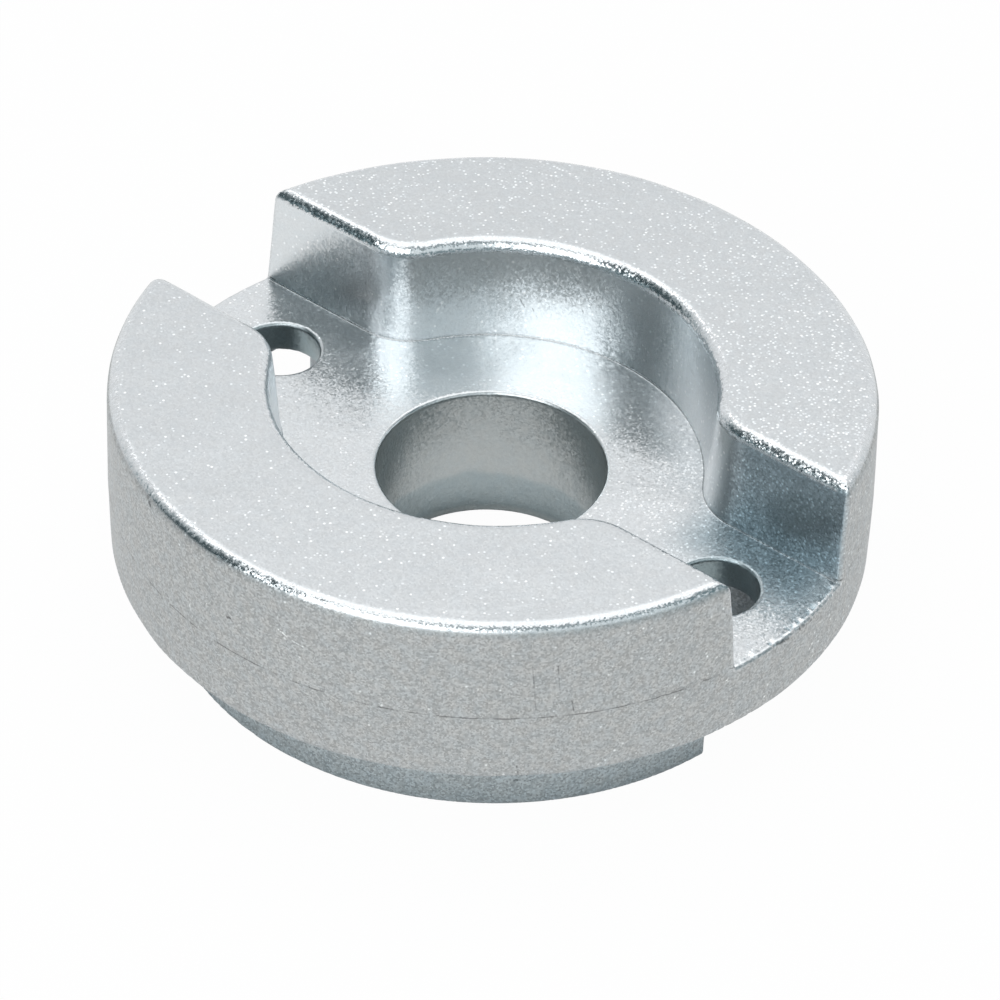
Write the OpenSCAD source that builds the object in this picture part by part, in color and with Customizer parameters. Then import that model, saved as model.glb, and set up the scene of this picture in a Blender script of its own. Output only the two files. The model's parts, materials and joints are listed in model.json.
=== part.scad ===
// Disc-shaped zinc anode for a boat's thruster, cast in one piece.
// The part stands on its spigot. Its origin is the centre of the spigot's face, +Z runs up
// the bore, and +X runs along the channel and through both screw holes.

/* [Disc] */
// Outer diameter at the parting line, level with the channel's floor
outer_d = 64.4; // [62:0.1:80]
// Thickness from the shoulder up to the channel's floor
disc_t = 6.1; // [4.6:0.1:9]
// Draft of the outer wall, above and below the parting line, in degrees
outer_draft = 1; // [0.5:0.5:3]

/* [Crescents] */
// Height of the two crescents above the channel's floor
crescent_h = 9.4; // [6:0.2:14]
// Radius of the rounding along the crescents' top edges
edge_r = 1.2; // [0.4:0.1:1.6]

/* [Channel] */
// Width of the straight channel at its floor
channel_w = 13.8; // [11:0.2:16]
// Diameter of the round pocket about the bore, at its floor
pocket_d = 35.8; // [32:0.2:40]
// Radius of the four corners where the channel opens into the pocket, at the floor
corner_r = 6; // [4:0.2:7]
// Draft of the walls round the channel and the pocket, in degrees
inner_draft = 5; // [1:0.5:7]

/* [Spigot] */
// Diameter of the spigot below the disc
spigot_d = 55.4; // [52:0.2:58]
// Length of the spigot
spigot_l = 7.1; // [4:0.1:12]

/* [Bore] */
// Diameter of the bore that clears the shaft
bore_d = 19.4; // [14:0.1:24]

/* [Screws] */
// Distance between the two screw holes
screw_pitch = 48; // [44:0.5:50]
// Diameter of a screw hole
screw_d = 7.1; // [5:0.1:8]
// Thickness of metal that a screw clamps, from the channel's floor down to the recess
web_t = 2.9; // [2:0.1:4]
// Width of the bevel round the top of the bore and of each screw hole
rim_bevel = 0.4; // [0.2:0.1:0.8]

/* [Recesses] */
// Width of the recess below each screw hole
recess_w = 11.8; // [10:0.2:13]
// Sideways shift of both recesses from the line of the screws
recess_shift = 1.1; // [0:0.1:1.5]
// Metal left between a recess and the disc's edge
recess_lip = 2.4; // [1.6:0.1:4]

/* [Hidden] */
$fn = 96;
// How far a cutter runs past the face that it opens
past = 1;
// Steps in the rounding of a top edge
edge_steps = 5;

outer_r = outer_d / 2;
pocket_r = pocket_d / 2;
channel_hw = channel_w / 2;
floor_z = spigot_l + disc_t;

// Centre of the corner in the first quadrant, which touches the channel's side and the pocket
corner_y = channel_hw + corner_r;
corner_x = sqrt(pow(pocket_r + corner_r, 2) - pow(corner_y, 2));

// How far a crescent's top face is set back from the foot of a wall with the given draft
function edge_setback(draft) = crescent_h * tan(draft) + edge_r * (1 - sin(draft)) / cos(draft);

// Section of a drafted wall with its rounded top edge, as [setback, height above the floor].
// The outer and inner walls share its rounding, which so runs on round each crescent's tips.
function wall_section(draft) = [
    [0, 0],
    for (i = [0 : edge_steps])
        let (a = draft + (90 - draft) * i / edge_steps)
        [edge_setback(draft) - edge_r * cos(a), crescent_h - edge_r + edge_r * sin(a)]
];

// Outline of metal that narrows upwards, from a centre line out to a wall of radius r
function metal_outline(r, draft) = concat(
    [[0, 0]],
    [for (p = wall_section(draft)) [r - p[0], p[1]]],
    [[0, crescent_h]]
);

// Outline of a hollow that widens upwards from a radius or half-width r, past the top face
function hollow_outline(r) = concat(
    [[0, 0]],
    [for (p = wall_section(inner_draft)) [r + p[0], p[1]]],
    [[r + edge_setback(inner_draft), crescent_h + past], [0, crescent_h + past]]
);

module at_screws() {
    for (side = [0, 1])
        mirror([side, 0, 0]) translate([screw_pitch / 2, 0, 0]) children();
}

// Round hole down from the channel's floor, with its bevelled rim
module floor_hole(d) {
    translate([0, 0, -past]) cylinder(d = d, h = floor_z + 2 * past);
    translate([0, 0, floor_z - rim_bevel])
        cylinder(d1 = d, d2 = d + 2 * (rim_bevel + past), h = rim_bevel + past);
}

// Wedge that opens the channel's corner into the pocket, left round by the corner's metal
module corner_hollow() {
    difference() {
        linear_extrude(crescent_h + past)
            polygon([[0, 0], [corner_x, 0], [corner_x, corner_y]]);
        translate([corner_x, corner_y, 0])
            rotate_extrude() polygon(metal_outline(corner_r, inner_draft));
    }
}

module channel_hollow() {
    rotate([90, 0, 90]) linear_extrude(outer_d + 2 * past, center = true)
        union() {
            polygon(hollow_outline(channel_hw));
            mirror([1, 0]) polygon(hollow_outline(channel_hw));
        }
    rotate_extrude() polygon(hollow_outline(pocket_r));
    for (mx = [0, 1], my = [0, 1])
        mirror([mx, 0, 0]) mirror([0, my, 0]) corner_hollow();
}

module crescents() {
    translate([0, 0, floor_z]) difference() {
        rotate_extrude() polygon(metal_outline(outer_r, outer_draft));
        channel_hollow();
    }
}

module disc_and_spigot() {
    cylinder(d = spigot_d, h = floor_z);
    translate([0, 0, spigot_l])
        cylinder(r1 = outer_r - disc_t * tan(outer_draft), r2 = outer_r, h = disc_t);
}

// Recess for the boss that a screw threads into. It runs out through the spigot's wall and
// stops inside the disc's edge.
module screw_recess() {
    depth = floor_z - web_t;
    intersection() {
        translate([screw_pitch / 2, recess_shift, -past]) {
            cylinder(d = recess_w, h = depth + past);
            translate([0, -recess_w / 2, 0]) cube([outer_r, recess_w, depth + past]);
        }
        translate([0, 0, -2 * past]) cylinder(r = outer_r - recess_lip, h = floor_z + 2 * past);
    }
}

module anode_casting() {
    color([0.76, 0.78, 0.79]) difference() {
        union() {
            disc_and_spigot();
            crescents();
        }
        floor_hole(bore_d);
        at_screws() floor_hole(screw_d);
        for (side = [0, 1]) mirror([side, 0, 0]) screw_recess();
    }
}

anode_casting();
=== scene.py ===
"""A cast zinc thruster anode, dressed for the render.

The casting is described once as a distance field in millimetres, meshed from that field with
true rounded edges, and finished as cast zinc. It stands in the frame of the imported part.
"""
import json
import logging
import math
from dataclasses import dataclass, field
from enum import Enum
from typing import Iterable

import bpy
import numpy as np
from mathutils import Matrix, Vector


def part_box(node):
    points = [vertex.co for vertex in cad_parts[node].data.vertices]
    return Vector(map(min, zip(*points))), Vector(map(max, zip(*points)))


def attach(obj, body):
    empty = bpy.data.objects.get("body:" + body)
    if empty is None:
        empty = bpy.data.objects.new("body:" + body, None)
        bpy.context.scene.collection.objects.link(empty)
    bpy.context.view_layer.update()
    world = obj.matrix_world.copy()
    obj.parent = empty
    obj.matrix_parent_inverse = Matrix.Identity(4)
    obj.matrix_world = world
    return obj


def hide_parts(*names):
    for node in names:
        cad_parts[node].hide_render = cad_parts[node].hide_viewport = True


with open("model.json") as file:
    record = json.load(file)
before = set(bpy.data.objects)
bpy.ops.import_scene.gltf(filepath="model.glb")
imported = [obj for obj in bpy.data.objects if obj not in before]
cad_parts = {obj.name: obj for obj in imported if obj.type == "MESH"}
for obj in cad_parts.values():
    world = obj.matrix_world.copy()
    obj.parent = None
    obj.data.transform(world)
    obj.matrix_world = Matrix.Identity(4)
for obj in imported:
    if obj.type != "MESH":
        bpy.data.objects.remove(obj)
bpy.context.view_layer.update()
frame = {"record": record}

LOG = logging.getLogger("anode")
MM = 0.001
TINY = 1e-9
SMOOTH = {"interpolation_type": "SMOOTHSTEP"}
Array = np.ndarray
Place = tuple[Array, Array, Array]
Source = bpy.types.Node | bpy.types.NodeSocket
Skins = dict[str, Source]
Span = tuple[float, float]


def linear(hex_colour: str) -> tuple[float, float, float, float]:
    """Turns an sRGB hex colour into linear RGBA.

    Args:
        hex_colour: six hex digits, such as "AAB0B2".

    Returns:
        The linear colour with an alpha of 1.
    """
    parts = [int(hex_colour[i:i + 2], 16) / 255 for i in (0, 2, 4)]
    return (*[p / 12.92 if p <= 0.04045 else ((p + 0.055) / 1.055) ** 2.4 for p in parts], 1.0)


def rounded_max(a: Array, b: Array, radius) -> Array:
    """Intersects two distance fields and rounds the edge between them.

    Args:
        a: distance to the first shape, negative inside.
        b: distance to the second shape, negative inside.
        radius: radius of the rounded edge, one number or one for each point.

    Returns:
        Distance to what both shapes share.
    """
    corner = np.hypot(np.maximum(a + radius, 0), np.maximum(b + radius, 0))
    return np.minimum(-radius, np.maximum(a, b)) + corner


def smooth_step(value: Array, low: float, high: float) -> Array:
    """Eases from 0 at low to 1 at high.

    Args:
        value: the values to ease.
        low: where the result leaves 0.
        high: where the result reaches 1.

    Returns:
        The eased values, from 0 to 1.
    """
    t = np.clip((value - low) / (high - low), 0, 1)
    return t * t * (3 - 2 * t)


def mount_sizes(name: str) -> dict[str, float]:
    """Gives the stated sizes of one of the part's mounts, in millimetres.

    Args:
        name: the mount's name in the record.

    Returns:
        The mount's dimensions by name.
    """
    return next(m["dims"] for m in frame["record"]["mounts"] if m["name"] == name)


class Zone(Enum):
    """Surfaces that the mould and the handling left different, and places where light or shade is painted
    into the skin's colour.
    """

    TOP = "top face"
    EDGE = "rounded top edge"
    OUTER = "outer wall"
    INNER = "channel wall"
    FLOOR = "channel floor"
    # Painted shade: a darker, bluer colour on the channel's wall and floor by the +X mouth
    GATE = "duller skin by the gate"
    BORE = "bore"
    BORE_LOW = "bore below the core mark"
    HOLE = "screw hole"
    SPIGOT = "spigot"
    UNDER = "underside"


@dataclass(frozen=True)
class SparkleSpread:
    """Where more crystals are drawn bright: partly bright crystals at random, partly painted glints,
    denser where the light glints. A span is where that starts and where it is full, in mm.
    """

    far_y: Span = (-2, 4)
    right_x: Span = (-6, 14)
    tip_x: Span = (20, 29)
    wall_x: Span = (8, 14)
    wall_depth: Span = (1.2, 2.0)
    least: float = 0.45
    far: float = 0.65
    far_right: float = 0.7
    far_tip: float = 0.8
    any_tip: float = 0.25
    wall: float = 1.5


@dataclass
class CastingField:
    """Distance field of the anode, in millimetres, negative inside the metal.

    A span is where a form starts and where it is full. A wave is a height, how fast it turns
    and a phase.
    """

    disc_t: float = 6.1
    crescent_h: float = 9.4
    channel_half: float = 6.9
    pocket_r: float = 17.9
    corner_r: float = 6.0
    web_t: float = 2.9
    recess_half: float = 5.9
    recess_shift: float = 1.1
    recess_lip: float = 2.4
    draft: float = math.radians(5)
    outer_draft: float = math.radians(1)
    outer_edge_r: float = 1.2
    inner_edge_r: float = 1.05
    tip_edge_r: float = 0.4
    worn_tip_r: float = 1.3
    foot_r: float = 0.05
    hole_edge_r: float = 0.35
    low_edge_r: float = 0.2
    recess_end_r: float = 0.8
    recess_roof_r: float = 0.3
    overlap: float = 1.0
    tip_blend: float = 1.5
    worn_x: Span = (20, 26)
    worn_y: Span = (0, 3)
    worn_rise: Span = (0.5, 3)
    # Swellings of the outer wall, each as its direction and spread in degrees and its height
    bulges: tuple[tuple[float, float, float], ...] = ((172, 18, 0.35), (78, 28, -0.18))
    bore_step_z: float = 4.3
    bore_step: float = 0.045
    bore_step_soft: float = 0.6
    bore_step_foot: Span = (0.3, 1.2)
    bore_waves: tuple[tuple[float, int, float], ...] = ((0.16, 2, 2.4), (0.14, 7, 3.4), (0.07, 16, 0))
    nick_depth: float = 0.07
    nick_reach: float = 0.55
    nick_x: Span = (26, 30)
    nick_limits: Span = (-0.4, 1.6)
    # Each wave's height, how fast it turns along y, up and out, and its phase
    nick_waves: tuple[tuple[float, ...], ...] = (
        (1.0, 2.3, 0, 0, 0.7), (0.8, 5.1, 1.9, 0, 2.0), (0.5, 8.7, 0, 3.0, 0))
    uneven: float = 0.018
    uneven_foot: Span = (0.2, 2)
    uneven_spacing: Span = (4.0, 9.0)
    uneven_waves: int = 14
    # How level the skin is, from 0 to 1, where the rounded top edge starts and ends
    edge_to_top: Span = (0.995, 0.96)
    edge_to_outer: Span = (0.5, 0.65)
    edge_to_inner: Span = (0.12, 0.3)
    edge_depth: Span = (2.2, 1.8)
    mark_blend: float = 0.5
    # Where the painted shade by the +X mouth lies on the floor and the wall, and how it fades towards the
    # rim
    gate_floor_x: Span = (15, 20)
    gate_floor_y: Span = (-1, 5)
    gate_wall_x: Span = (18, 21.5)
    gate_rim_r: float = 31.5
    gate_rim_fade: float = 2.5
    mouth_clear: float = 0.4
    spread: SparkleSpread = SparkleSpread()
    waves: list[tuple[Array, float]] = field(default_factory=list)

    def __post_init__(self) -> None:
        """Takes the sizes that the frame states and works out the rest."""
        self.rim_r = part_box("anode_casting")[1].x / MM
        self.bore_r = mount_sizes("bore")["r_mm"]
        self.spigot_r = mount_sizes("spigot")["r_mm"]
        self.spigot_l = mount_sizes("spigot")["length_mm"]
        self.screw_x = mount_sizes("screws")["spacing_x_mm"] / 2
        self.screw_r = mount_sizes("screws")["hole_r_mm"]
        self.floor_z = self.spigot_l + self.disc_t
        self.top_z = self.floor_z + self.crescent_h
        self.corner_y = self.channel_half + self.corner_r
        self.corner_x = math.sqrt((self.pocket_r + self.corner_r) ** 2 - self.corner_y ** 2)
        draw = np.random.default_rng(7)
        for _ in range(self.uneven_waves):
            direction = draw.normal(size=3)
            direction /= np.linalg.norm(direction)
            spacing = draw.uniform(*self.uneven_spacing)
            self.waves.append((direction * 2 * math.pi / spacing, draw.uniform(0, 2 * math.pi)))

    def unevenness(self, at: Place) -> Array:
        """Gives the slow waviness of a cast skin.

        Args:
            at: the points' x, y and z.

        Returns:
            How far the skin lies in or out of its true place, in millimetres.
        """
        x, y, z = at
        total = sum(np.sin(k[0] * x + k[1] * y + k[2] * z + phase) for k, phase in self.waves)
        return total * self.uneven / math.sqrt(len(self.waves)) * smooth_step(z, *self.uneven_foot)

    def bore_low(self, at: Place) -> Array:
        """Gives where the bore is narrower, below the wavy mark that the core left.

        Args:
            at: the points' x, y and z.

        Returns:
            Share from 0 above the mark to 1 below it.
        """
        x, y, z = at
        turn = np.arctan2(y, x)
        wave = sum(rise * np.sin(count * turn + phase) for rise, count, phase in self.bore_waves)
        below = smooth_step(self.bore_step_z + wave - z, -self.bore_step_soft, self.bore_step_soft)
        return below * smooth_step(z, *self.bore_step_foot)

    def nicks(self, at: Place) -> Array:
        """Gives the ragged wear of the floor's outer edge where the channel leaves to +X.

        Args:
            at: the points' x, y and z.

        Returns:
            How much metal is gone, in millimetres.
        """
        x, y, z = at
        out, up = np.hypot(x, y) - self.rim_r, z - self.floor_z
        near = np.exp(-(out ** 2 + up ** 2) / self.nick_reach ** 2) * smooth_step(x, *self.nick_x)
        bite = sum(size * np.sin(by_y * y + by_up * up + by_out * out + phase)
                   for size, by_y, by_up, by_out, phase in self.nick_waves)
        return near * self.nick_depth * np.clip(bite, *self.nick_limits)

    def channel_plan(self, x: Array, y: Array) -> Array:
        """Gives the distance in plan to the channel's and pocket's outline at the floor.

        Args:
            x: points' x.
            y: points' y.

        Returns:
            Distance to the outline, negative inside the channel.
        """
        ax, ay = np.abs(x), np.abs(y)
        straight = ay - self.channel_half
        pocket = np.hypot(ax, ay) - self.pocket_r
        corner = self.corner_r - np.hypot(ax - self.corner_x, ay - self.corner_y)
        by_corner = (ax < self.corner_x) & (ay * self.corner_x < ax * self.corner_y)
        return np.where(by_corner, corner, np.where(ax < self.corner_x, pocket, straight))

    def recess(self, at: Place) -> Array:
        """Gives the distance to the hollow below each screw hole.

        Args:
            at: the points' x, y and z.

        Returns:
            Distance to the hollow's surface, negative inside the hollow.
        """
        x, y, z = at
        along = np.minimum(np.abs(x) - self.screw_x, 0)
        plan = np.hypot(along, y - self.recess_shift) - self.recess_half
        plan = rounded_max(plan, np.hypot(x, y) - (self.rim_r - self.recess_lip), self.recess_end_r)
        return rounded_max(plan, z - (self.floor_z - self.web_t), self.recess_roof_r)

    def inner_wall(self, at: Place) -> Array:
        """Gives the distance to the channel's drafted walls.

        Args:
            at: the points' x, y and z.

        Returns:
            Distance to the walls, negative inside the channel.
        """
        x, y, z = at
        rise = z - self.floor_z
        return (self.channel_plan(x, y) - rise * math.tan(self.draft)) * math.cos(self.draft)

    def outer_wall(self, at: Place) -> Array:
        """Gives the distance to the drafted outer wall, which is widest at the parting line.

        Args:
            at: the points' x, y and z.

        Returns:
            Distance to the wall, negative inside.
        """
        x, y, z = at
        rise = z - self.floor_z
        turn = np.degrees(np.arctan2(y, x))
        bulge = sum(amount * np.exp(-(((turn - aim + 180) % 360 - 180) / spread) ** 2)
                    for aim, spread, amount in self.bulges)
        slope = np.abs(rise) * math.tan(self.outer_draft)
        return (np.hypot(x, y) - self.rim_r + slope - bulge) * math.cos(self.outer_draft)

    def distance(self, at: Place) -> Array:
        """Gives the distance to the casting's skin.

        Args:
            at: the points' x, y and z.

        Returns:
            Distance to the skin, negative inside the metal.
        """
        x, y, z = at
        r = np.hypot(x, y)
        outer = self.outer_wall(at)
        rise = z - self.floor_z
        channel = rounded_max(self.inner_wall(at), -rise, self.foot_r)
        worn = smooth_step(-x, *self.worn_x) * smooth_step(-y, *self.worn_y)
        worn = worn * smooth_step(rise, *self.worn_rise)
        tip = self.tip_edge_r + (self.worn_tip_r - self.tip_edge_r) * worn
        sides = rounded_max(outer, -channel, tip)
        near_outer = smooth_step(outer + channel, -self.tip_blend, self.tip_blend)
        edge = self.inner_edge_r + (self.outer_edge_r - self.inner_edge_r) * near_outer
        body = rounded_max(sides, z - self.top_z, edge)
        body = rounded_max(body, self.spigot_l - z, self.low_edge_r)
        spigot = rounded_max(r - self.spigot_r, -z, self.low_edge_r)
        spigot = np.maximum(spigot, rise + self.overlap)
        metal = -rounded_max(-body, -spigot, self.low_edge_r)
        bore = self.bore_r - self.bore_step * self.bore_low(at) - r
        metal = rounded_max(metal, bore, self.hole_edge_r)
        hole = self.screw_r - np.hypot(np.abs(x) - self.screw_x, y)
        metal = rounded_max(metal, hole, self.hole_edge_r)
        metal = rounded_max(metal, -self.recess(at), self.low_edge_r)
        return metal + self.unevenness(at) + self.nicks(at)

    def foot_gap(self, points: Array) -> Array:
        """Gives the distance to the sharp line where the channel's walls meet its floor.

        Args:
            points: one row of x, y, z for each point.

        Returns:
            The distance at each point.
        """
        x, y, z = points.T
        return np.maximum(np.abs(self.channel_plan(x, y)), np.abs(z - self.floor_z))

    def foot_turn(self, points: Array) -> Array:
        """Gives the direction that the small fillet at the foot of the channel's walls faces.

        Args:
            points: one row of x, y, z for each point.

        Returns:
            One unit vector for each point, halfway between the wall's and the floor's.
        """
        x, y, _ = points.T
        gap, step = self.channel_plan(x, y), 0.01
        slope_x = (self.channel_plan(x + step, y) - gap) / step
        slope_y = (self.channel_plan(x, y + step) - gap) / step
        turn = np.stack([-slope_x, -slope_y, np.ones_like(x)], axis=1)
        return turn / np.linalg.norm(turn, axis=1, keepdims=True)

    def sharpen(self, points: Array, reach: float = 0.16) -> Array:
        """Moves the points beside the foot of the channel's walls on to its sharp line.

        Args:
            points: one row of x, y, z for each point.
            reach: how near a point lies to be moved.

        Returns:
            The points.
        """
        near = self.foot_gap(points) < reach
        near &= np.hypot(points[:, 0], points[:, 1]) < self.rim_r - self.mouth_clear
        gap = self.channel_plan(points[near, 0], points[near, 1])
        turn = self.foot_turn(points[near])
        turn /= turn[:, 2:]
        sharp = points.copy()
        sharp[near, :2] += turn[:, :2] * gap[:, None]
        sharp[near, 2] = self.floor_z
        return sharp

    def zones(self, points: Array, blend: float = 0.25) -> dict[Zone, Array]:
        """Shares each point out among the zones by its distance to their surfaces.

        Args:
            points: one row of x, y, z for each point.
            blend: distance over which one zone's skin runs into the next.

        Returns:
            The share of each zone at each point, adding up to 1.
        """
        x, y, z = at = points.T
        r = np.hypot(x, y)
        rise = z - self.floor_z
        outer = self.outer_wall(at)
        wall = self.inner_wall(at)
        hole = np.hypot(np.abs(x) - self.screw_x, y) - self.screw_r
        low_bore = self.bore_low(at)
        under = np.minimum(np.abs(z), np.hypot(z - self.spigot_l, np.maximum(self.spigot_r - r, 0)))
        under = np.minimum(under, np.abs(self.recess(at)))
        away = {
            Zone.TOP: np.abs(z - self.top_z),
            Zone.OUTER: np.hypot(outer, np.maximum(self.spigot_l - z, 0)),
            Zone.INNER: np.hypot(wall, np.maximum(-rise, 0)),
            Zone.FLOOR: np.hypot(rise, np.maximum(wall, 0)),
            Zone.BORE: np.hypot(r - self.bore_r, self.mark_blend * low_bore),
            Zone.BORE_LOW: np.hypot(r - self.bore_r, self.mark_blend * (1 - low_bore)),
            Zone.HOLE: np.abs(hole),
            Zone.SPIGOT: np.hypot(r - self.spigot_r, np.maximum(z - self.spigot_l, 0)),
            Zone.UNDER: under}
        share = {zone: np.exp(-(gap / blend) ** 2) + TINY for zone, gap in away.items()}
        total = sum(share.values())
        edge = self.top_edge(points, outer)
        shares = {zone: value / total * (1 - edge) for zone, value in share.items()}
        shares[Zone.EDGE] = edge
        # Painted shade: the channel's wall and floor by the +X mouth take a darker, bluer colour
        wall_shade = smooth_step(x, *self.gate_wall_x) * (y > 0)
        floor_shade = smooth_step(x, *self.gate_floor_x) * smooth_step(y, *self.gate_floor_y)
        floor_shade = floor_shade * smooth_step(self.gate_rim_r - r, 0, self.gate_rim_fade)
        shares[Zone.GATE] = 0.0
        for zone, shaded in ((Zone.INNER, wall_shade), (Zone.FLOOR, floor_shade)):
            shares[Zone.GATE] = shares[Zone.GATE] + shares[zone] * shaded
            shares[zone] = shares[zone] * (1 - shaded)
        return shares

    def top_edge(self, points: Array, outer: Array) -> Array:
        """Gives how much each point belongs to the rounded edge round the crescents' tops.

        Args:
            points: one row of x, y, z for each point.
            outer: the points' distance to the outer wall.

        Returns:
            Share from 0 to 1 at each point.
        """
        level = self.normals(points)[:, 2]
        off_top = smooth_step(-level, *(-bound for bound in self.edge_to_top))
        high = smooth_step(points[:, 2], *(self.top_z - depth for depth in self.edge_depth))
        off_wall = np.where(outer > -self.outer_edge_r, smooth_step(level, *self.edge_to_outer),
                            smooth_step(level, *self.edge_to_inner))
        return off_top * high * off_wall

    def sparkle(self, points: Array) -> Array:
        """Gives how richly crystals are drawn bright, most on the far crescent's right half and the tips:
        partly bright crystals, partly painted glints where the light glints.

        Args:
            points: one row of x, y, z for each point.

        Returns:
            A factor for the share of bright crystals and painted glints at each point.
        """
        x, y, z = points.T
        more = self.spread
        far = smooth_step(y, *more.far_y)
        rich = more.least + far * (more.far + more.far_right * smooth_step(x, *more.right_x))
        tip = smooth_step(np.abs(x), *more.tip_x)
        wall = smooth_step(self.top_z - z, *more.wall_depth) * smooth_step(x, *more.wall_x)
        return (rich + more.far_tip * tip * far + more.any_tip * tip) * (1 + more.wall * wall)

    def normals(self, points: Array, step: float = 0.02) -> Array:
        """Gives the skin's direction from the field's slope.

        Args:
            points: one row of x, y, z for each point.
            step: half the distance over which the slope is taken.

        Returns:
            One unit vector for each point.
        """
        slope = np.empty_like(points)
        for axis in range(3):
            shift = np.zeros(3)
            shift[axis] = step
            slope[:, axis] = self.distance((points + shift).T) - self.distance((points - shift).T)
        length = np.linalg.norm(slope, axis=1, keepdims=True)
        return slope / np.maximum(length, TINY)


@dataclass
class FieldMesher:
    """Makes a closed mesh of quads on the zero level of a distance field."""

    shape: CastingField
    cell: float = 0.25
    margin: float = 1.0
    # Shares of a cell that keep the grid's planes off the casting's own flat faces
    offset: Span = (0.37, 0.41)
    settle_steps: int = 3

    def axes(self) -> list[Array]:
        """Gives the grid's places, clear of the casting on every side.

        Returns:
            The places along x, y and z.
        """
        side = self.shape.rim_r + self.margin
        flat = np.arange(-side, side + self.cell, self.cell) + self.offset[0] * self.cell
        tall = np.arange(-self.margin, self.shape.top_z + self.margin, self.cell)
        return [flat, flat, tall + self.offset[1] * self.cell]

    def sample(self, axes: list[Array]) -> Array:
        """Samples the field layer by layer.

        Args:
            axes: the grid's places along x, y and z.

        Returns:
            The distances, indexed by x, y, z.
        """
        gx, gy = np.meshgrid(axes[0], axes[1], indexing="ij")
        layers = [self.shape.distance((gx, gy, np.full_like(gx, z))) for z in axes[2]]
        return np.stack(layers, axis=-1)

    @staticmethod
    def beside(index: Array, axis: int, du: int, dv: int) -> Place:
        """Gives a cell beside each of the grid's edges along an axis.

        Args:
            index: the edges' places in the grid.
            axis: the axis that they run along.
            du: steps back along the next axis.
            dv: steps back along the one after it.

        Returns:
            The cells' indices along x, y and z.
        """
        cell = index.copy()
        cell[:, (axis + 1) % 3] -= du
        cell[:, (axis + 2) % 3] -= dv
        return tuple(cell.T)

    def build(self) -> tuple[Array, Array]:
        """Makes one vertex in each cell that the skin crosses and joins them round each edge.

        Returns:
            The vertices in millimetres, and quads of their indices, wound to face outwards.
        """
        axes = self.axes()
        values = self.sample(axes)
        cells = tuple(n - 1 for n in values.shape)
        total = np.zeros((*cells, 3))
        count = np.zeros(cells)
        crossings = []
        for axis in range(3):
            near = [slice(None)] * 3
            far = [slice(None)] * 3
            near[axis], far[axis] = slice(None, -1), slice(1, None)
            a, b = values[tuple(near)], values[tuple(far)]
            index = np.argwhere((a < 0) != (b < 0))
            va, vb = a[tuple(index.T)], b[tuple(index.T)]
            point = np.stack([axes[d][index[:, d]] for d in range(3)], axis=1)
            step = axes[axis][index[:, axis] + 1] - axes[axis][index[:, axis]]
            point[:, axis] += step * va / (va - vb)
            crossings.append((axis, index, va < 0))
            for du, dv in ((0, 0), (0, 1), (1, 0), (1, 1)):
                flat = np.ravel_multi_index(self.beside(index, axis, du, dv), cells)
                for d in range(3):
                    total[..., d] += np.bincount(flat, point[:, d], count.size).reshape(cells)
                count += np.bincount(flat, minlength=count.size).reshape(cells)
        used = count > 0
        number = np.cumsum(used.ravel()).reshape(cells) - 1
        points = total[used] / count[used][:, None]
        quads = []
        for axis, index, inward in crossings:
            ring = ((1, 1), (0, 1), (0, 0), (1, 0))
            quad = np.stack([number[self.beside(index, axis, du, dv)] for du, dv in ring], axis=1)
            quad[~inward] = quad[~inward][:, ::-1]
            quads.append(quad)
        return self.settle(points), np.concatenate(quads)

    def settle(self, points: Array) -> Array:
        """Moves the vertices on to the true skin, along its slope.

        Args:
            points: the vertices.

        Returns:
            The vertices, moved by less than a cell.
        """
        for _ in range(self.settle_steps):
            reach = np.clip(self.shape.distance(points.T), -self.cell / 2, self.cell / 2)
            points = points - self.shape.normals(points) * reach[:, None]
        return self.shape.sharpen(points)


@dataclass
class NodeBoard:
    """Thin helper round a node tree.

    A Mix node's vectors are its inputs 4 and 5 and its output 1, and its colours are its inputs
    6 and 7 and its output 2.
    """

    tree: bpy.types.NodeTree

    def add(self, kind: str, settings: dict | None = None, links: dict | None = None) -> bpy.types.Node:
        """Adds a node with its settings and links.

        Args:
            kind: the node's type name, without its leading ShaderNode.
            settings: properties by name, and input values by socket name or number.
            links: what feeds the node, by socket name or number. A node feeds its first output.

        Returns:
            The new node.
        """
        node = self.tree.nodes.new("ShaderNode" + kind)
        for key, value in (settings or {}).items():
            if isinstance(key, str) and hasattr(node, key):
                setattr(node, key, value)
            else:
                node.inputs[key].default_value = value
        for key, source in (links or {}).items():
            output = source.outputs[0] if isinstance(source, bpy.types.Node) else source
            self.tree.links.new(output, node.inputs[key])
        return node


def from_span(span: Span, to: Span = (0, 1)) -> dict[str, float]:
    """Gives the settings that take a span of values to another span, or to 0 and 1."""
    return {"From Min": span[0], "From Max": span[1], "To Min": to[0], "To Max": to[1]}


@dataclass(frozen=True)
class Skin:
    """How the cast skin looks in one zone.

    Roughness is the shader's own. Grain is the tilt of the fine crystals, speckle the contrast
    of their tones, sparkle the share of them that are painted brighter, partly as bright crystals
    and partly as painted glints, ripple and streak the height of the orange peel and of the drawn
    streaks in millimetres, and mottle the strength of the warm and cool patches. In some zones
    the colour carries painted light.
    """

    colour: str
    roughness: float
    grain: float
    speckle: float
    sparkle: float
    ripple: float
    streak: float
    mottle: float


@dataclass(frozen=True)
class Scratch:
    """A thin straight mark on the skin, or a band of painted shade, from start to end in millimetres."""

    start: tuple[float, float, float]
    end: tuple[float, float, float]
    width: float
    tone: float


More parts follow.
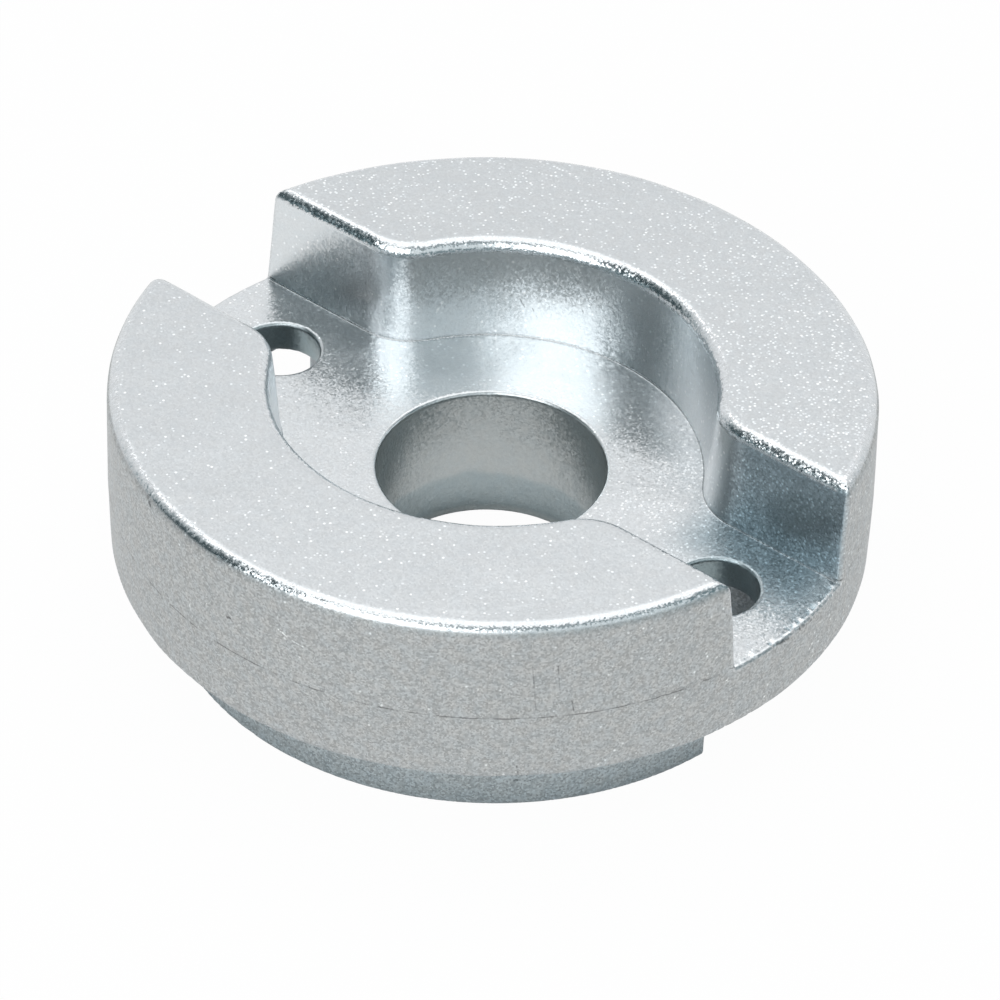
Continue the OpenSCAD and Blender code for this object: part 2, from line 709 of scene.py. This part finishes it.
@dataclass(frozen=True)
class CastZinc:
    """Cast zinc as it leaves the mould.

    Clean zinc gives back most of the light with a faint blue cast. The mould's coating leaves
    orange peel and upright streaks on the walls, the sand-fine outer skin is mottled warm and
    cool, and single crystals sparkle, drawn as brighter colour: partly bright crystals and partly
    painted glints. A dark line along the foot of the channel's walls is painted shade. A span is
    the pattern's own value, from 0 to 1, where an effect starts and where it is full.
    """

    # The skin's real crystals are about 0.05 mm across. They are drawn coarser, at two pixels
    # of the photograph, and the shining ones at four, because finer ones don't show.
    grain_mm: float = 0.16
    sparkle_mm: float = 0.34
    sparkle_reach: Span = (0.42, 0.25)
    sparkle_tone: float = 0.7
    drift_mm: float = 10 / 3
    drift: Span = (0.3, 0.7)
    drift_share: Span = (0.6, 1.4)
    # Patches of the coating, orange peel and drawn streaks, at their real size
    mottle_mm: float = 1.0
    mottle: Span = (0.35, 0.65)
    cool: tuple[float, ...] = (0.94, 0.99, 1.03, 1)
    warm: tuple[float, ...] = (1.06, 1.01, 0.97, 1)
    ripple_mm: float = 0.42
    streak_mm: float = 0.7
    streak_squash: float = 0.16
    relief_gain: float = 4.0
    foot_fillet_mm: float = 0.11
    # Painted shade: the colour is darkened along the foot line where the channel's walls meet the floor
    crease_tone: float = 0.5
    # The parting line wanders, breaks off and is seen only outside its radius
    parting_z: float = 13.45
    parting_mm: float = 0.1
    parting_r: float = 31.4
    parting_tone: float = 0.6
    parting_wander: float = 0.12
    parting_break_mm: float = 2.0
    parting_break: Span = (0.42, 0.56)
    chatter_mm: float = 1 / 2.2
    chatter: Span = (0.38, 0.55)
    scratch_core: float = 0.3
    scratches: tuple[Scratch, ...] = tuple(Scratch(*row) for row in (
        ((22.8, -22.6, 21.0), (23.3, -22.3, 13.9), 0.09, 0.62),
        ((24.3, -21.0, 18.7), (24.5, -20.9, 16.2), 0.09, 0.6),
        ((25.1, -20.1, 14.9), (25.3, -20.0, 13.7), 0.09, 0.45),
        ((22.2, -23.2, 8.3), (22.3, -23.1, 7.4), 0.10, 0.45),
        ((-5.1, -31.7, 15.8), (-5.1, -31.8, 14.4), 0.09, 1.45),
        ((4.4, -31.8, 18.3), (5.3, -31.7, 17.8), 0.12, 1.9),
        ((5.8, -31.6, 17.6), (6.8, -31.4, 17.4), 0.11, 1.7),
        ((-11.3, -29.8, 22.1), (-10.7, -30.2, 21.6), 0.22, 0.4),
        ((-0.7, -32.1, 16.7), (-0.4, -32.1, 16.8), 0.19, 0.35),
        ((19.3, -19.8, 2.6), (19.6, -19.5, 2.6), 0.16, 0.35),
        ((19.9, -19.2, 2.5), (20.2, -18.9, 2.5), 0.14, 0.5),
        ((25.6, -18.8, 22.0), (26.5, -17.6, 22.0), 0.14, 0.62),
        ((-14.9, 10.3, 15.9), (-14.7, 10.8, 16.8), 0.14, 1.7),
        ((-9.8, 15.4, 17.0), (-9.4, 15.6, 16.2), 0.10, 0.5),
        ((-8.8, 15.9, 16.2), (-8.3, 16.0, 15.3), 0.09, 0.5),
        ((-4.8, 17.6, 17.3), (-4.5, 17.7, 16.8), 0.09, 0.5),
        ((16.8, -25.1, 22.6), (18.0, -24.0, 22.6), 0.30, 1.10),
        ((19.3, -22.6, 22.6), (20.9, -20.2, 22.6), 0.28, 1.10),
        ((22.3, -17.9, 22.6), (23.4, -15.5, 22.6), 0.28, 1.08),
        ((32.0, -2.4, 13.1), (32.2, -1.0, 12.9), 0.22, 0.4),
        ((32.2, 0.2, 13.0), (32.1, 2.2, 12.8), 0.20, 0.4),
        # A broad dark band below a step on the outer wall: painted shade, not a scratch
        ((29.0, -14.0, 13.9), (30.9, -8.9, 13.3), 0.40, 0.88),
        ((31.4, 3.1, 13.2), (31.5, 3.5, 13.2), 0.22, 1.5),
        ((31.9, -0.9, 13.2), (31.9, -0.5, 13.2), 0.20, 1.4)))
    skins: dict[Zone, Skin] = field(default_factory=lambda: {
        Zone.TOP: Skin("CFD2D4", 0.36, 0.08, 0.10, 0.32, 0.0010, 0.0, 0.1),
        # The rounded top edge is coloured lighter than the tops: painted highlight along the fillet
        Zone.EDGE: Skin("DADDDF", 0.21, 0.19, 0.18, 0.12, 0.0030, 0.0, 0.1),
        Zone.OUTER: Skin("BFC1C1", 0.52, 0.17, 0.46, 0.03, 0.0010, 0.0, 0.3),
        Zone.INNER: Skin("E0E4E6", 0.28, 0.08, 0.09, 0.07, 0.0011, 0.004, 0.1),
        Zone.FLOOR: Skin("DCDFE1", 0.26, 0.09, 0.10, 0.16, 0.0042, 0.0, 0.1),
        # Darker, bluer colour by the +X mouth: painted shade
        Zone.GATE: Skin("A9B6BC", 0.30, 0.11, 0.30, 0.22, 0.0022, 0.0, 0.1),
        Zone.BORE: Skin("BBC0C0", 0.29, 0.10, 0.08, 0.0, 0.0060, 0.005, 0.2),
        Zone.BORE_LOW: Skin("A8B3B6", 0.30, 0.10, 0.08, 0.0, 0.0060, 0.005, 0.2),
        # The screw holes are coloured darker and bluer than the rest: painted shade inside the holes
        Zone.HOLE: Skin("98A6A9", 0.33, 0.10, 0.14, 0.0, 0.0040, 0.003, 0.2),
        # The spigot is coloured darker and bluer than the outer wall: painted shade under the disc
        Zone.SPIGOT: Skin("B0B8BB", 0.46, 0.20, 0.60, 0.01, 0.0010, 0.0, 0.3),
        Zone.UNDER: Skin("B8BDC0", 0.50, 0.16, 0.30, 0.01, 0.0010, 0.0, 0.4)})

    def mark(self, mesh: bpy.types.Mesh, shares: dict[Zone, Array], sparkle: Array,
             foot_gap: Array, foot_turn: Array) -> None:
        """Writes each skin value on the mesh's vertices, blended between the zones.

        Args:
            mesh: the casting's mesh.
            shares: how much each vertex belongs to each zone.
            sparkle: how richly the skin sparkles at each vertex.
            foot_gap: each vertex's distance to the foot line of the channel's walls.
            foot_turn: the direction that the small fillet at that foot line faces.
        """
        def write(name: str, kind: str, key: str, values: Array) -> None:
            """Writes one value on every vertex."""
            layer = mesh.attributes.new(name, kind, "POINT")
            layer.data.foreach_set(key, values.astype(np.float32).ravel())

        for name in Skin.__dataclass_fields__:
            if name == "colour":
                values = sum(np.outer(share, linear(self.skins[zone].colour))
                             for zone, share in shares.items())
                write("skin_colour", "FLOAT_COLOR", "color", values)
                continue
            values = sum(getattr(self.skins[zone], name) * share for zone, share in shares.items())
            write("skin_" + name, "FLOAT", "value", values * sparkle if name == "sparkle" else values)
        write("foot_gap", "FLOAT", "value", foot_gap)
        write("foot_turn", "FLOAT_VECTOR", "vector", foot_turn)

    def foot(self, board: NodeBoard, normal: Source) -> tuple[Source, Source]:
        """Turns the skin's direction over in the small fillet at the foot of the channel's walls.

        Args:
            board: the material's node board.
            normal: the direction of the bare shape.

        Returns:
            The direction with the fillet, and the fillet's share.
        """
        gap = board.add("Attribute", {"attribute_name": "foot_gap"})
        turn = board.add("Attribute", {"attribute_name": "foot_turn"})
        share = board.add("MapRange", SMOOTH | from_span((self.foot_fillet_mm, 0)),
                          {"Value": gap.outputs["Fac"]})
        bent = board.add("Mix", {"data_type": "VECTOR"}, {0: share, 4: normal, 5: turn.outputs["Vector"]})
        bent = board.add("VectorMath", {"operation": "NORMALIZE"}, {0: bent.outputs[1]})
        return bent, share

    def crystals(self, board: NodeBoard, mm: Source, skin: Skins) -> tuple[Source, Source]:
        """Draws the fine crystals of the skin.

        Args:
            board: the material's node board.
            mm: the place on the casting in millimetres.
            skin: the skin values by name.

        Returns:
            The crystals' tilt and their tone, about 1.
        """
        crystal = board.add("TexVoronoi", {"Scale": 1 / self.grain_mm}, {"Vector": mm})
        centred = board.add("VectorMath", {"operation": "SUBTRACT", 1: (0.5, 0.5, 0.5)},
                            {0: crystal.outputs["Color"]})
        tilt = board.add("VectorMath", {"operation": "SCALE"}, {0: centred, "Scale": skin["grain"]})
        lot = board.add("SeparateXYZ", links={0: centred})
        tone = board.add("Math", {"operation": "MULTIPLY_ADD", 2: 1.0}, {0: lot, 1: skin["speckle"]})

        spark = board.add("TexVoronoi", {"Scale": 1 / self.sparkle_mm}, {"Vector": mm})
        near = board.add("MapRange", from_span(self.sparkle_reach), {"Value": spark.outputs["Distance"]})
        draw = board.add("SeparateXYZ", links={0: spark.outputs["Color"]})
        drift = board.add("TexNoise", {"Scale": 1 / self.drift_mm, "Detail": 1.0}, {"Vector": mm})
        drift = board.add("MapRange", from_span(self.drift, self.drift_share),
                          {"Value": drift.outputs["Fac"]})
        share = board.add("Math", {"operation": "MULTIPLY"}, {0: drift, 1: skin["sparkle"]})
        chosen = board.add("Math", {"operation": "LESS_THAN"}, {0: draw, 1: share})
        shine = board.add("Math", {"operation": "MULTIPLY"}, {0: near, 1: chosen})
        shine = board.add("Math", {"operation": "MULTIPLY"}, {0: shine, 1: draw.outputs[1]})
        # The chosen crystals are painted brighter: partly bright crystals, partly painted glints
        tone = board.add("Math", {"operation": "MULTIPLY_ADD", 1: self.sparkle_tone}, {0: shine, 2: tone})
        return tilt, tone

    def lines(self, board: NodeBoard, mm: Source) -> Source:
        """Draws the parting line, the scratches and a band of painted shade below a step.

        Args:
            board: the material's node board.
            mm: the place on the casting in millimetres.

        Returns:
            The lines' tone, 1 where there is none.
        """
        broken = board.add("TexNoise", {"Scale": 1 / self.parting_break_mm, "Detail": 3.0},
                           {"Vector": mm})
        split = board.add("SeparateXYZ", links={0: mm})
        flat = board.add("VectorMath", {"operation": "MULTIPLY", 1: (1, 1, 0)}, {0: mm})
        radius = board.add("VectorMath", {"operation": "LENGTH"}, {0: flat})
        outside = board.add("Math", {"operation": "GREATER_THAN", 1: self.parting_r},
                            {0: radius.outputs["Value"]})
        height = board.add(
            "Math", {"operation": "MULTIPLY_ADD", 1: self.parting_wander, 2: -self.parting_wander / 2},
            {0: broken.outputs["Fac"]})
        height = board.add("Math", {"operation": "ADD"}, {0: split.outputs[2], 1: height})
        height = board.add("Math", {"operation": "SUBTRACT", 1: self.parting_z}, {0: height})
        height = board.add("Math", {"operation": "ABSOLUTE"}, {0: height})
        seam = board.add("MapRange", from_span((self.parting_mm, 0), (0, self.parting_tone)),
                         {"Value": height})
        patchy = board.add("MapRange", from_span(self.parting_break), {"Value": broken.outputs["Fac"]})
        for part in (outside, patchy):
            seam = board.add("Math", {"operation": "MULTIPLY"}, {0: seam, 1: part})
        tone = board.add("Math", {"operation": "SUBTRACT", 0: 1.0}, {1: seam})
        chatter = board.add("TexNoise", {"Scale": 1 / self.chatter_mm, "Detail": 2.0}, {"Vector": mm})
        chatter = board.add("MapRange", from_span(self.chatter), {"Value": chatter.outputs["Fac"]})
        for scratch in self.scratches:
            tone = self.scratch(board, mm, scratch, chatter, tone)
        return tone

    def scratch(self, board: NodeBoard, mm: Source, scratch: Scratch,
                broken: Source, tone: Source) -> Source:
        """Draws one scratch over the tone so far.

        Args:
            board: the material's node board.
            mm: the place on the casting in millimetres.
            scratch: the scratch.
            broken: how deep the scratch is at each place, from 0 to 1.
            tone: the tone so far.

        Returns:
            The tone with the scratch on it.
        """
        along = Vector(scratch.end) - Vector(scratch.start)
        here = board.add("VectorMath", {"operation": "SUBTRACT", 1: scratch.start}, {0: mm})
        share = board.add("VectorMath", {
            "operation": "DOT_PRODUCT", 1: along / along.length_squared}, {0: here})
        share = board.add("Clamp", links={0: share.outputs["Value"]})
        nearest = board.add("VectorMath", {"operation": "SCALE", 0: along}, {"Scale": share})
        gap = board.add("VectorMath", {"operation": "DISTANCE"}, {0: here, 1: nearest})
        reach = (scratch.width, scratch.width * self.scratch_core)
        strength = board.add("MapRange", from_span(reach, (0, scratch.tone - 1)),
                             {"Value": gap.outputs["Value"]})
        return board.add("Math", {"operation": "MULTIPLY_ADD"}, {0: strength, 1: broken, 2: tone})

    def relief(self, board: NodeBoard, mm: Source, skin: Skins, normal: Source) -> Source:
        """Raises the orange peel and the upright streaks.

        Args:
            board: the material's node board.
            mm: the place on the casting in millimetres.
            skin: the skin values by name.
            normal: the direction of the skin with its crystals.

        Returns:
            The raised skin's direction.
        """
        peel = board.add("TexNoise", {"Scale": 1 / self.ripple_mm, "Detail": 3.0}, {"Vector": mm})
        stretch = board.add("VectorMath", {
            "operation": "MULTIPLY", 1: (1, 1, self.streak_squash)}, {0: mm})
        drawn = board.add("TexNoise", {"Scale": 1 / self.streak_mm, "Detail": 2.0}, {"Vector": stretch})
        height = board.add("Math", {"operation": "MULTIPLY"},
                           {0: drawn.outputs["Fac"], 1: skin["streak"]})
        height = board.add("Math", {"operation": "MULTIPLY_ADD"},
                           {0: peel.outputs["Fac"], 1: skin["ripple"], 2: height})
        return board.add("Bump", {"Strength": 1.0, "Distance": self.relief_gain * MM},
                         {"Height": height, "Normal": normal})

    def build(self) -> bpy.types.Material:
        """Makes the material.

        Returns:
            The material, which reads the skin values from the mesh.
        """
        material = bpy.data.materials.new("cast_zinc")
        material.use_nodes = True
        material.node_tree.nodes.clear()
        board = NodeBoard(material.node_tree)
        skin = {name: board.add("Attribute", {"attribute_name": "skin_" + name}).outputs["Fac"]
                for name in Skin.__dataclass_fields__ if name != "colour"}
        colour = board.add("Attribute", {"attribute_name": "skin_colour"})
        place = board.add("TexCoord").outputs["Object"]
        mm = board.add("VectorMath", {"operation": "SCALE", "Scale": 1 / MM}, {0: place})
        flat, crease_shade = self.foot(board, board.add("NewGeometry").outputs["Normal"])
        tilt, tone = self.crystals(board, mm, skin)
        leaning = board.add("VectorMath", {"operation": "ADD"}, {0: flat, 1: tilt})
        leaning = board.add("VectorMath", {"operation": "NORMALIZE"}, {0: leaning})
        normal = self.relief(board, mm, skin, leaning)

        mottle = board.add("TexNoise", {"Scale": 1 / self.mottle_mm, "Detail": 4.0}, {"Vector": mm})
        mottle = board.add("MapRange", from_span(self.mottle), {"Value": mottle.outputs["Fac"]})
        cast = board.add("Mix", {"data_type": "RGBA", 6: self.cool, 7: self.warm}, {0: mottle})
        cast = board.add("Mix", {"data_type": "RGBA", 6: (1, 1, 1, 1)},
                         {0: skin["mottle"], 7: cast.outputs[2]})
        tint = board.add("VectorMath", {"operation": "MULTIPLY"},
                         {0: colour.outputs["Color"], 1: cast.outputs[2]})
        tone = board.add("Math", {"operation": "MULTIPLY"}, {0: tone, 1: self.lines(board, mm)})
        # Painted shade along the foot line of the channel's walls
        crease_shade = board.add("Math", {"operation": "MULTIPLY_ADD", 1: self.crease_tone - 1, 2: 1.0},
                           {0: crease_shade})
        tone = board.add("Math", {"operation": "MULTIPLY"}, {0: tone, 1: crease_shade})
        tint = board.add("VectorMath", {"operation": "SCALE"}, {0: tint, "Scale": tone})
        shader = board.add("BsdfPrincipled", {"Metallic": 1.0}, {
            "Base Color": tint, "Roughness": skin["roughness"], "Normal": normal})
        board.add("OutputMaterial", links={"Surface": shader})
        return material


@dataclass
class AnodeCasting:
    """The anode itself, one casting."""

    shape: CastingField = field(default_factory=CastingField)
    finish: CastZinc = field(default_factory=CastZinc)
    most_triangles: int = 190000
    lean_in: float = 0.3

    def build(self) -> bpy.types.Object:
        """Makes the casting's mesh.

        Returns:
            The piece, in metres, in the part's frame.
        """
        points, quads = FieldMesher(self.shape).build()
        LOG.info("casting meshed with %d vertices and %d quads", len(points), len(quads))
        mesh = bpy.data.meshes.new("cast_zinc_anode")
        mesh.from_pydata((points * MM).tolist(), [], quads.tolist())
        piece = bpy.data.objects.new("cast_zinc_anode", mesh)
        bpy.context.scene.collection.objects.link(piece)
        thin = piece.modifiers.new("thin_flats", "DECIMATE")
        thin.ratio = min(1.0, self.most_triangles / (2 * len(quads)))
        graph = bpy.context.evaluated_depsgraph_get()
        thinned = bpy.data.meshes.new_from_object(piece.evaluated_get(graph))
        piece.modifiers.clear()
        piece.data = thinned
        bpy.data.meshes.remove(mesh)
        return piece

    @staticmethod
    def points(mesh: bpy.types.Mesh) -> Array:
        """Gives the mesh's vertices.

        Args:
            mesh: the mesh, in metres.

        Returns:
            One row of x, y, z for each vertex, in millimetres.
        """
        flat = np.empty(len(mesh.vertices) * 3)
        mesh.vertices.foreach_get("co", flat)
        return flat.reshape(-1, 3) / MM

    def shade(self, piece: bpy.types.Object) -> None:
        """Gives each corner of each face the true direction of the skin.

        Args:
            piece: the casting.
        """
        mesh = piece.data
        corner = np.empty(len(mesh.loops), dtype=np.int64)
        mesh.loops.foreach_get("vertex_index", corner)
        sides = np.empty(len(mesh.polygons), dtype=np.int64)
        mesh.polygons.foreach_get("loop_total", sides)
        middle = np.empty(len(mesh.polygons) * 3)
        mesh.polygons.foreach_get("center", middle)
        middle = np.repeat(middle.reshape(-1, 3) / MM, sides, axis=0)
        vertex = self.points(mesh)[corner]
        normals = self.shape.normals(vertex + (middle - vertex) * self.lean_in)
        mesh.polygons.foreach_set("use_smooth", [True] * len(mesh.polygons))
        mesh.normals_split_custom_set(normals.tolist())

    def dress(self, piece: bpy.types.Object) -> None:
        """Gives the casting its finish and its place in the frame.

        Args:
            piece: the casting.
        """
        self.shade(piece)
        points = self.points(piece.data)
        self.finish.mark(piece.data, self.shape.zones(points), self.shape.sparkle(points),
                         self.shape.foot_gap(points), self.shape.foot_turn(points))
        piece.data.materials.clear()
        piece.data.materials.append(self.finish.build())
        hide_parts("anode_casting")
        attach(piece, "root")


@dataclass(frozen=True)
class Softbox:
    """A rectangular soft lamp that faces the object.

    Azimuth and elevation are degrees, azimuth from the camera's side towards its right. Distance,
    width and height are metres. Brightness 1 shows as white in a perfect mirror.
    """

    name: str
    azimuth: float
    elevation: float
    distance: float
    width: float
    height: float
    brightness: float
    colour: str = "FFFFFF"


@dataclass
class Studio:
    """Pale floor, soft light and the camera at the photograph's viewing angle."""

    floor_side: float = 4.0
    paper: float = 0.8
    floor_glow_seen: float = 0.97
    floor_glow_mirrored: float = 0.68
    # Radii that shape the floor as the metal mirrors it: a painted pool of light inside the bore, painted
    # shadow under the casting between the bore and the rim, and the open floor beyond
    shadow_ring: tuple[float, float, float, float] = (0.0052, 0.0092, 0.0262, 0.032)
    room: str = "687F85"
    ceiling: str = "929EA2"
    flag: str = "2C3F44"
    flag_azimuth: float = -85.0
    backdrop: str = "E8E0DE"
    backdrop_top: float = 55.0
    # Cosines of the turn away from a direction, and sines of the height, as start and full
    flag_turn: Span = (0.955, 0.99)
    backdrop_turn: Span = (0.0, 0.7)
    backdrop_fade: float = 0.1
    ceiling_rise: Span = (0.72, 0.92)
    softboxes: tuple[Softbox, ...] = (
        Softbox("key_softbox", -33, 38, 0.6, 0.52, 0.48, 2.12),
        Softbox("overhead_softbox", 180, 79, 0.9, 1.05, 0.88, 1.18, "FFFCFB"),
        Softbox("fill_softbox", 30, 34, 0.8, 0.95, 0.5, 0.70))
    azimuth: float = 38.933
    elevation: float = 39.539
    roll: float = 1.520
    distance: float = 0.40567
    lens: float = 173.47
    sensor: float = 36.0
    aim_right: float = 0.000720
    aim_up: float = -0.003015
    aim_height: float = 0.0132
    clip: Span = (0.01, 10)

    def back(self, azimuth: float, elevation: float) -> Vector:
        """Gives the direction from the object at an angle from the camera's side.

        Args:
            azimuth: degrees from the camera's side towards its right.
            elevation: degrees above the floor.

        Returns:
            The unit direction.
        """
        a, e = math.radians(self.azimuth + azimuth), math.radians(elevation)
        return Vector((math.sin(a) * math.cos(e), -math.cos(a) * math.cos(e), math.sin(e)))

    def floor(self) -> None:
        """Lays the floor that the part stands on."""
        half = self.floor_side / 2
        mesh = bpy.data.meshes.new("studio_floor")
        corners = [(-half, -half, 0), (half, -half, 0), (half, half, 0), (-half, half, 0)]
        mesh.from_pydata(corners, [], [(0, 1, 2, 3)])
        floor = bpy.data.objects.new("studio_floor", mesh)
        bpy.context.scene.collection.objects.link(floor)
        material = bpy.data.materials.new("white_paper")
        material.use_nodes = True
        material.node_tree.nodes.clear()
        board = NodeBoard(material.node_tree)
        paper = board.add("BsdfDiffuse", {"Color": (self.paper, self.paper, self.paper, 1)})
        glow = board.add("Emission", {"Color": (1, 1, 1, 1), "Strength": 1.0})
        path = board.add("LightPath")
        mirrored = board.add("Math", {"operation": "MAXIMUM"}, {
            0: path.outputs["Is Glossy Ray"], 1: path.outputs["Is Transmission Ray"]})
        place = board.add("TexCoord").outputs["Object"]
        radius = board.add("VectorMath", {"operation": "LENGTH"}, {0: place})
        # Painted light and shade on the floor for mirrored rays only: bright in the bore, dark under the
        # casting
        bore_in, bore_out, rim_in, rim_out = self.shadow_ring
        in_bore, open_floor = (
            board.add("MapRange", SMOOTH | from_span(span), {"Value": radius.outputs["Value"]})
            for span in ((bore_out, bore_in), (rim_in, rim_out)))
        lit = board.add("Math", {"operation": "MAXIMUM"}, {0: in_bore, 1: open_floor})
        lit = board.add("Math", {"operation": "MULTIPLY"}, {0: lit, 1: mirrored})
        share = board.add("Math", {"operation": "MULTIPLY", 1: self.floor_glow_mirrored}, {0: lit})
        share = board.add("Math", {"operation": "MULTIPLY_ADD", 1: self.floor_glow_seen}, {
            0: path.outputs["Is Camera Ray"], 2: share})
        both = board.add("MixShader", links={0: share, 1: paper, 2: glow})
        board.add("OutputMaterial", links={"Surface": both})
        mesh.materials.append(material)

    def sky(self) -> None:
        """Makes the dim surroundings with the pale backdrop behind the object."""
        world = bpy.data.worlds.new("studio_room")
        world.use_nodes = True
        world.node_tree.nodes.clear()
        board = NodeBoard(world.node_tree)
        way = board.add("TexCoord").outputs["Generated"]
        flat = board.add("VectorMath", {"operation": "MULTIPLY", 1: (1, 1, 0)}, {0: way})
        flat = board.add("VectorMath", {"operation": "NORMALIZE"}, {0: flat})
        rise = board.add("SeparateXYZ", links={0: way})
        behind, beside = (
            board.add("VectorMath", {"operation": "DOT_PRODUCT", 1: self.back(azimuth, 0)},
                      {0: flat}).outputs["Value"] for azimuth in (180, self.flag_azimuth))
        top = math.sin(math.radians(self.backdrop_top))
        fade = (top + self.backdrop_fade, top - self.backdrop_fade)
        behind, beside, below, high = (
            board.add("MapRange", SMOOTH | from_span(span), {"Value": value}) for span, value in (
                (self.backdrop_turn, behind), (self.flag_turn, beside),
                (fade, rise.outputs[2]), (self.ceiling_rise, rise.outputs[2])))
        share = board.add("Math", {"operation": "MULTIPLY"}, {0: behind, 1: below})
        dim = board.add("Mix", {"data_type": "RGBA", 6: linear(self.room), 7: linear(self.flag)},
                        {0: beside})
        dim = board.add("Mix", {"data_type": "RGBA", 7: linear(self.ceiling)},
                        {0: high, 6: dim.outputs[2]})
        light = board.add("Mix", {
            "data_type": "RGBA", "blend_type": "ADD", 7: linear(self.backdrop)},
            {0: share, 6: dim.outputs[2]})
        soft = board.add("Background", {"Strength": 1.0}, {"Color": light.outputs[2]})
        board.add("OutputWorld", links={"Surface": soft})
        bpy.context.scene.world = world

    def lamp(self, box: Softbox) -> None:
        """Hangs one softbox.

        Args:
            box: the softbox.
        """
        data = bpy.data.lights.new(box.name, "AREA")
        data.shape = "RECTANGLE"
        data.size, data.size_y = box.width, box.height
        data.energy = box.brightness * math.pi * box.width * box.height
        data.color = linear(box.colour)[:3]
        lamp = bpy.data.objects.new(box.name, data)
        way = self.back(box.azimuth, box.elevation)
        level = self.back(box.azimuth + 90, 0)
        turn = Matrix((level, way.cross(level), way)).transposed().to_4x4()
        lamp.matrix_world = Matrix.Translation(way * box.distance) @ turn
        bpy.context.scene.collection.objects.link(lamp)

    def camera(self) -> None:
        """Stands the camera where the photograph was taken from."""
        roll, turn = math.radians(self.roll), math.radians(self.azimuth)
        back = self.back(0, self.elevation)
        level = Vector((math.cos(turn), math.sin(turn), 0))
        upright = back.cross(level)
        right = math.cos(roll) * level + math.sin(roll) * upright
        up = back.cross(right)
        data = bpy.data.cameras.new("photo_camera")
        data.lens = self.lens
        data.sensor_width = self.sensor
        data.clip_start, data.clip_end = self.clip
        camera = bpy.data.objects.new("photo_camera", data)
        aim = Vector((0, 0, self.aim_height)) + self.aim_right * right + self.aim_up * up
        turn = Matrix((right, up, back)).transposed().to_4x4()
        camera.matrix_world = Matrix.Translation(aim + back * self.distance) @ turn
        bpy.context.scene.collection.objects.link(camera)
        bpy.context.scene.camera = camera

    def build(self) -> None:
        """Sets the whole studio up."""
        self.camera()
        self.sky()
        self.floor()
        for box in self.softboxes:
            self.lamp(box)
        bpy.context.scene.view_settings.view_transform = "Standard"


def main() -> None:
    """Builds the studio and the casting and reports them."""
    logging.basicConfig(level=logging.INFO, format="%(name)s: %(message)s")
    Studio().build()
    LOG.info("studio built")
    casting = AnodeCasting()
    piece = casting.build()
    casting.dress(piece)
    LOG.info("%s built with %d faces", piece.name, len(piece.data.polygons))


if __name__ == "__main__":
    main()
